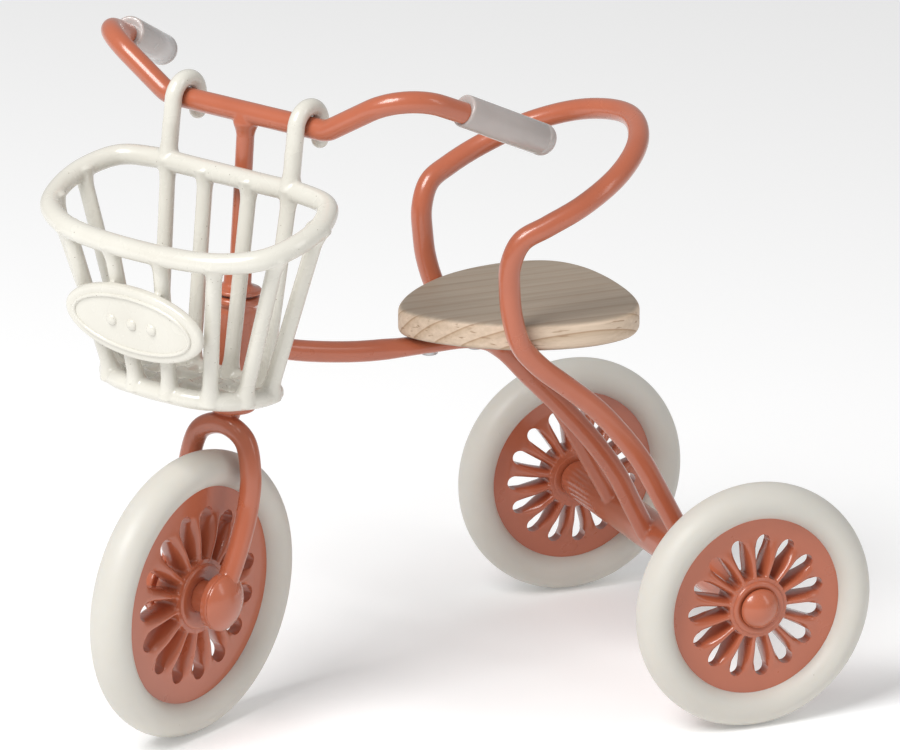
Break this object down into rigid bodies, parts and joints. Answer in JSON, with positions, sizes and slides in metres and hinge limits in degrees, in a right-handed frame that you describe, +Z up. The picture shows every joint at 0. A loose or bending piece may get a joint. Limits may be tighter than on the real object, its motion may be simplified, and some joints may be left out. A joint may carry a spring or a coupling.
{
  "type": "toy tricycle",
  "caption": "Small steel toy tricycle with wooden seat, tall backrest hoop, steering fork, soft-tyred slotted wheels and a hook-on front basket.",
  "frame": {"origin": "on the floor, below the middle of the whole part with the fork turned 30.4 degrees to the left", "axes": "+X forward, +Y to the rider's left, +Z up"},
  "size_m": [0.1078, 0.077, 0.0951],
  "materials": {
    "coral_paint": "glossy coral enamel over steel",
    "cream_enamel": "glossy cream enamel over a cast metal basket",
    "tyre_silicone": "soft matte off-white silicone rubber",
    "grip_silicone": "soft glossy greyish-pink vinyl",
    "beech": "plain sanded beech with light grain",
    "steel": "plain steel"
  },
  "bodies": {
    "frame": {"head_tube": "coral_paint", "backbone": "coral_paint", "backrest_hoop": "coral_paint", "axle_housing": "coral_paint", "rear_axle": "steel", "seat": "beech", "seat_screws": "steel", "left_axle_cap": "coral_paint", "right_axle_cap": "coral_paint"},
    "steering": {"stem": "coral_paint", "handlebar": "coral_paint", "upper_flange": "coral_paint", "crown_flange": "coral_paint", "fork": "coral_paint", "front_axle": "steel", "left_grip": "grip_silicone", "right_grip": "grip_silicone", "left_fork_cap": "coral_paint", "right_fork_cap": "coral_paint"},
    "front_wheel": {"front_disc": "coral_paint", "front_tyre": "tyre_silicone"},
    "left_rear_wheel": {"left_disc": "coral_paint", "left_tyre": "tyre_silicone"},
    "right_rear_wheel": {"right_disc": "coral_paint", "right_tyre": "tyre_silicone"},
    "basket": {"basket_rim": "cream_enamel", "basket_floor_ring": "cream_enamel", "basket_floor_lattice": "cream_enamel", "basket_hooks": "cream_enamel", "basket_front_bars": "cream_enamel", "basket_side_bars": "cream_enamel", "basket_back_bars": "cream_enamel", "basket_badge": "cream_enamel"}
  },
  "joints": [
    {"name": "steer", "type": "hinge", "parent": "frame", "child": "steering", "pos_m": [0.02806, 0.00344, 0.0538], "axis": [-0.0663, 0, 0.9978], "range_deg": [-75, 15]},
    {"name": "front_spin", "type": "hinge", "parent": "steering", "child": "front_wheel", "pos_m": [0.03582, 0.00668, 0.02024], "axis": [-0.5049, 0.8625, -0.0335], "continuous": true},
    {"name": "left_rear_spin", "type": "hinge", "parent": "frame", "child": "left_rear_wheel", "pos_m": [-0.03639, 0.03414, 0.0175], "axis": [0, 1, 0], "continuous": true},
    {"name": "right_rear_spin", "type": "hinge", "parent": "frame", "child": "right_rear_wheel", "pos_m": [-0.03639, -0.02726, 0.0175], "axis": [0, 1, 0], "continuous": true},
    {"name": "basket_swing", "type": "hinge", "parent": "steering", "child": "basket", "pos_m": [0.02586, 0.00344, 0.08683], "axis": [0.5049, -0.8625, 0.0335], "range_deg": [0, 40]}
  ]
}
